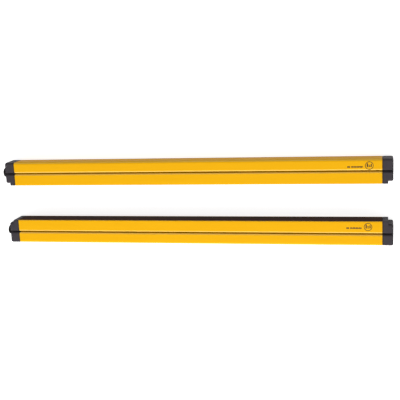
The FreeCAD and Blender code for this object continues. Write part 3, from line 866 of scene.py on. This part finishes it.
@dataclass(frozen=True)
class Softbox:
    """One rectangular lamp.

    Attributes:
        name: What it does.
        place: Its middle, in metres.
        width: Its size along X, in metres.
        depth: Its size across, in metres.
        power: Its power, in watts.
    """
    name: str
    place: tuple[float, float, float]
    width: float
    depth: float
    power: float

    def build(self) -> bpy.types.Object:
        """Hang the lamp and point it at the origin, the middle of the object's base.

        Returns:
            The lamp.
        """
        data = bpy.data.lights.new(self.name, "AREA")
        data.shape, data.size, data.size_y = "RECTANGLE", self.width, self.depth
        data.energy = self.power
        lamp = bpy.data.objects.new(self.name, data)
        lamp.location = self.place
        lamp.rotation_mode = "QUATERNION"
        lamp.rotation_quaternion = (-Vector(self.place)).to_track_quat("-Z", "X")
        bpy.context.scene.collection.objects.link(lamp)
        return lamp


@dataclass(frozen=True)
class Studio:
    """A pale floor that runs out of sight, a plain sky and soft lamps.

    Attributes:
        reach: Half the floor's side, in metres.
        sky: Strength of the sky's light on the object.
        floor_grey: The floor's colour in the light that it throws back on the object.
        floor_white: The floor's colour in the camera's view and in reflections.
        lift: Light added to the floor there alone, so that it shows white.
        lamps: The main ones on the receiver's side, one behind the emitter, one at each end.
    """
    reach: float = 6.0
    sky: float = 0.3
    floor_grey: str = "#a0a0a0"
    floor_white: str = "#f4f4f4"
    lift: float = 0.7
    lamps: tuple[Softbox, ...] = (
        Softbox("key_softbox", (0.1, -1.25, 1.05), 1.6, 0.7, 22.2),
        Softbox("low_strip", (0.0, -1.5, 0.2), 2.2, 0.3, 6.0),
        Softbox("back_fill", (0.0, 1.2, 0.8), 1.6, 0.6, 3.6),
        Softbox("plug_end_fill", (-1.1, -0.2, 0.75), 0.6, 0.6, 2.2),
        Softbox("closed_end_fill", (1.1, -0.2, 0.75), 0.6, 0.6, 1.8),
    )

    @staticmethod
    def seen_as_image(tree: bpy.types.NodeTree) -> bpy.types.NodeSocket:
        """Tell the rays that make up the image from those that carry light between surfaces.

        Args:
            tree: The node tree of the floor's material or of the world.

        Returns:
            A socket that is 1 for camera, glossy and transmission rays.
        """
        path = add_node(tree, "ShaderNodeLightPath")
        straight = add_node(tree, "ShaderNodeMath", None, {0: path.outputs["Is Camera Ray"],
                                                           1: path.outputs["Is Transmission Ray"]},
                            operation="MAXIMUM")
        return add_node(tree, "ShaderNodeMath", None, {0: straight.outputs["Value"],
                                                       1: path.outputs["Is Glossy Ray"]},
                        operation="MAXIMUM").outputs["Value"]

    def floor(self) -> bpy.types.Object:
        """Lay the floor: white to look at, grey in the light it throws back, and shadowed.

        Returns:
            The floor.
        """
        shape = bmesh.new()
        bmesh.ops.create_grid(shape, x_segments=1, y_segments=1, size=self.reach)
        mesh = bpy.data.meshes.new("studio_floor")
        shape.to_mesh(mesh)
        shape.free()
        paper = bpy.data.materials.new("studio_paper")
        paper.use_nodes = True
        tree = paper.node_tree
        tree.nodes.clear()
        seen = self.seen_as_image(tree)
        grey = add_node(tree, "ShaderNodeBsdfDiffuse", {"Color": linear(self.floor_grey)})
        white = add_node(tree, "ShaderNodeBsdfDiffuse", {"Color": linear(self.floor_white)})
        lift = add_node(tree, "ShaderNodeEmission", {"Strength": self.lift})
        pale = add_node(tree, "ShaderNodeAddShader", None,
                        {0: white.outputs[0], 1: lift.outputs[0]})
        mix = add_node(tree, "ShaderNodeMixShader", None,
                       {0: seen, 1: grey.outputs[0], 2: pale.outputs[0]})
        add_node(tree, "ShaderNodeOutputMaterial", None, {"Surface": mix.outputs[0]})
        mesh.materials.append(paper)
        floor = bpy.data.objects.new("studio_floor", mesh)
        bpy.context.scene.collection.objects.link(floor)
        return floor

    def world(self) -> None:
        """Light everything evenly from a plain sky that looks white, also in reflections."""
        world = bpy.data.worlds.new("studio_sky")
        world.use_nodes = True
        bpy.context.scene.world = world
        tree = world.node_tree
        tree.nodes.clear()
        light, white = (add_node(tree, "ShaderNodeBackground",
                                 {"Color": linear("#ffffff"), "Strength": strength})
                        for strength in (self.sky, 1.0))
        mix = add_node(tree, "ShaderNodeMixShader", None,
                       {0: self.seen_as_image(tree), 1: light.outputs[0], 2: white.outputs[0]})
        add_node(tree, "ShaderNodeOutputWorld", None, {"Surface": mix.outputs[0]})

    def build(self) -> None:
        """Set up the sky, the floor and the lamps."""
        self.world()
        self.floor()
        for lamp in self.lamps:
            lamp.build()


# --- all together --------------------------------------------------------------------------------


def main() -> None:
    """Set up the camera and the studio, then build both bars and report every piece."""
    logging.basicConfig(level=logging.INFO, format="%(message)s")
    bpy.context.scene.view_settings.view_transform = "Standard"
    Viewpoint().build()
    Studio().build()
    for bar in (Bar(Role.RECEIVER, mark_from_end=16.8, mark_from_low_y=23.4),
                Bar(Role.EMITTER, mark_from_end=15.0, mark_from_low_y=22.2)):
        for piece in bar.build():
            log.info("%s: %d faces of %s", piece.name, len(piece.data.polygons),
                     piece.active_material.name)


if __name__ == "__main__":
    main()
